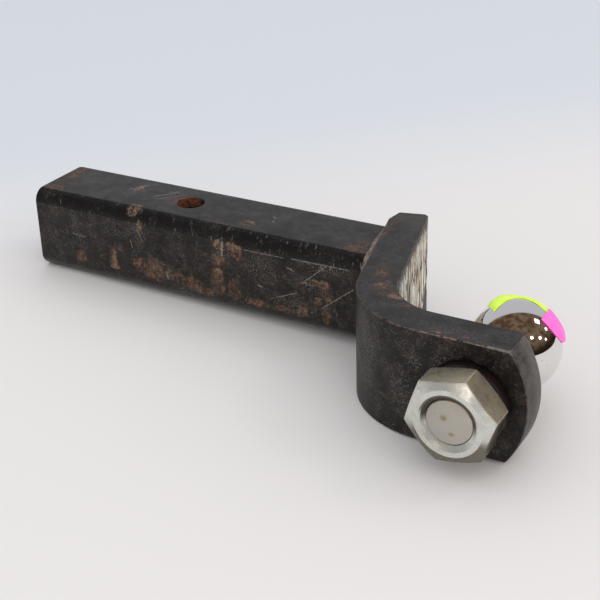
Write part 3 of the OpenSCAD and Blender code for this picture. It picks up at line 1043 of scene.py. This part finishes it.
def build_tag():
    """A paper tag on the ball's upper right, with its lower edge on a slant."""
    tilt = math.radians(37)
    across = Vector((-math.sin(tilt), 0, math.cos(tilt)))
    outward = Vector((math.cos(tilt), 0, math.sin(tilt)))

    def at(a, y):
        flat = across * (a / 1000) + Vector((0, y / 1000, 0))
        return BALL + flat + outward * math.sqrt(BALL_R ** 2 - flat.length_squared)

    def lift(u, v):
        return 0.0003 + 0.0009 * v + 0.0003 * noise.noise(Vector((u * 2, v * 3, 9)))

    def bulge(u, v):
        return -0.0022 * 4 * u * (1 - u) * (1 - v)

    corners = [at(-9.5, 3.2), at(7.2, -3.2), at(6.5, 12.6), at(-10.3, 10)]
    patch = film_patch(corners, 26, 20, 0.00018, lift, bulge)
    add_piece("pink_sticker", *patch, tag_film, "ball", "pink_paper", "pink_tag")


def build_label():
    """Torn label on the leg's inner face: ragged strips along Z over wide, thinner strips of glue."""
    random.seed(41)
    up, high_up = -0.052, 0.029
    parts = []
    while up < high_up:
        width = random.uniform(0.0012, 0.0052)
        top = HALF_PLATE - random.uniform(0.0014, 0.0042)
        bottom = -HALF_PLATE + random.uniform(0.003, 0.02)
        while top > bottom + 0.004:
            length = random.uniform(0.008, 0.05)
            end = max(bottom, top - length)
            parts.append(label_strip(up, width, top, end))
            top = end - random.uniform(0.0005, 0.004)
        up += width + random.choice([0.0002, 0.0005, 0.0011, 0.0018])
    for i in range(6):
        parts.append(label_strip(-0.045 + 0.0125 * i, 0.0145, 0.0275, -0.0265 + 0.004 * (i % 3),
                                 GLUE_THICKNESS))
    add_piece("label_streaks", *join(parts), label_paper, "root", "old_label", "label_residue")


def label_strip(up, width, top, end, thickness=None):
    """A ragged strip from z = top to z = end, at a height up the leg. Its thickness is random unless given."""
    thickness = thickness or random.uniform(0.00007, 0.0002)
    rows = max(3, int((top - end) / 0.0012))
    seed = random.uniform(0, 100)
    rings = []
    for i in range(rows + 1):
        share = i / rows
        z = top + (end - top) * share
        taper = min(1.0, 4 * share + 0.15, 4 * (1 - share) + 0.15)
        wob = 0.0007 * noise.noise(Vector((z * 300, seed, 0)))
        half = width / 2 * taper * (1 + 0.5 * noise.noise(Vector((z * 700, seed, 4))))
        low, high = up + wob - half, up + wob + half
        corners = [(PLATE_T - LABEL_SINK, low), (PLATE_T - LABEL_SINK, high)]
        corners += [(PLATE_T + thickness, high), (PLATE_T + thickness, low)]
        rings.append([(*leg_point(depth, at), z) for depth, at in corners])
    return loft(rings)


# ---------------- stage, light and camera
REST_TILT = 0.0209


def floor_z(x, y):
    """The surface that the hitch lies on: it touches the leg's outer edge and the shank's free end."""
    return -HALF_PLATE - REST_TILT * ((x - PLATE_X) * math.cos(LEAN) + y * math.sin(LEAN))


def build_floor():
    """A pale matt plane with painted light: warm in front, and cooler and darker behind the shank."""
    half, middle = 6.0, Vector((0.08, -0.03, 0))
    corners = [(middle.x + sx * half, middle.y + sy * half)
               for sx, sy in ((-1, -1), (1, -1), (1, 1), (-1, 1))]
    mesh = new_mesh("floor", [(x, y, floor_z(x, y)) for x, y in corners], [(0, 1, 2, 3)])
    floor = new_object("floor", mesh)
    g = new_surface("floor")
    away = g.vector("DOT_PRODUCT", g.mm, (-0.75, 0.66, 0))
    # painted light: one plain sheet coloured warm and bright on the camera side, and cooler and darker further
    # away
    colour = g.mix(g.fade(away, 20, 300), (0.79, 0.75, 0.715), (0.665, 0.69, 0.71))
    mesh.materials.append(g.finish(colour, 0.65, specular=0.3))


def build_world():
    """Even light for matt surfaces. Shiny ones see a room, pale on one side and dim brown elsewhere."""
    world = bpy.data.worlds.new("room")
    scene.world = world
    g = Graph(world, "Generated", 1)
    world.cycles.sampling_method = "NONE"
    toward = g.vector("DOT_PRODUCT", g.mm, (-0.527, 0.843, 0.105))
    up = g.split(g.mm)[2]
    clutter = g.noise(0.2, 5, 0.5)
    brown = g.mix(g.fade(clutter, 0.36, 0.64), (0.085, 0.05, 0.03), (0.2, 0.135, 0.09))
    dim = g.mix(g.fade(up, 0.05, 0.5), (0.02, 0.013, 0.008), brown)
    room = g.mix(g.fade(toward, 0.46, 0.54), dim, (0.56, 0.56, 0.6))
    path = g.nodes.new("ShaderNodeLightPath")
    lit = g.mix(path.outputs["Is Glossy Ray"], (0.97, 1.0, 1.06), room)
    shown = g.mix(path.outputs["Is Camera Ray"], lit, (0.72, 0.74, 0.79))
    background = g.nodes.new("ShaderNodeBackground")
    g.links.new(shown, background.inputs["Color"])
    end = g.nodes.new("ShaderNodeOutputWorld")
    g.links.new(background.outputs[0], end.inputs[0])


LAMP_DISTANCE = 2.0
LAMPS = [  # direction from the ball, size and power
    ((0.49, 0.48, 0.73), (0.34, 0.34), 1.7),
    ((0.74, -0.24, 0.63), (0.18, 0.18), 1.0),
    ((0.88, 0.07, 0.48), (0.18, 0.18), 1.0),
    ((0.71, 0.55, 0.45), (0.14, 0.14), 0.7),
    ((0.91, 0.29, 0.31), (0.1, 0.1), 0.4),
    ((-0.02, -0.98, 0.19), (0.55, 0.55), 3.0),
    ((0.57, -0.64, 0.52), (0.5, 0.5), 1.8),
]


def build_lamps():
    """Small warm lamps that look at the ball."""
    for i, (way, size, power) in enumerate(LAMPS):
        data = bpy.data.lights.new(f"lamp_{i}", "AREA")
        data.shape = "RECTANGLE"
        data.size, data.size_y = size
        data.energy = power
        data.color = (1.0, 0.9, 0.8)
        lamp = new_object(f"lamp_{i}", data)
        lamp.location = BALL + Vector(way).normalized() * LAMP_DISTANCE
        lamp.rotation_mode = "QUATERNION"
        lamp.rotation_quaternion = (BALL - lamp.location).to_track_quat("-Z", "Y")


def build_camera():
    """The camera at the viewing angle, as its place and its own right and up."""
    place = Vector((0.4168, -0.5863, 0.3195))
    right = Vector((0.86881, 0.49445, -0.02643))
    up = Vector((-0.20186, 0.40241, 0.89293))
    back = right.cross(up)
    data = bpy.data.cameras.new("camera")
    data.lens = 78.54
    data.sensor_width = 36
    data.clip_start, data.clip_end = 0.01, 50
    camera = new_object("camera", data)
    camera.matrix_world = Matrix((
        (right.x, up.x, back.x, place.x),
        (right.y, up.y, back.y, place.y),
        (right.z, up.z, back.z, place.z),
        (0, 0, 0, 1),
    ))
    scene.camera = camera


build_shank()
build_plate()
build_welds()
build_ball()
build_nut()
build_washer()
build_tape()
build_tag()
build_label()
build_floor()
build_world()
build_lamps()
build_camera()
scene.view_settings.view_transform = "Standard"
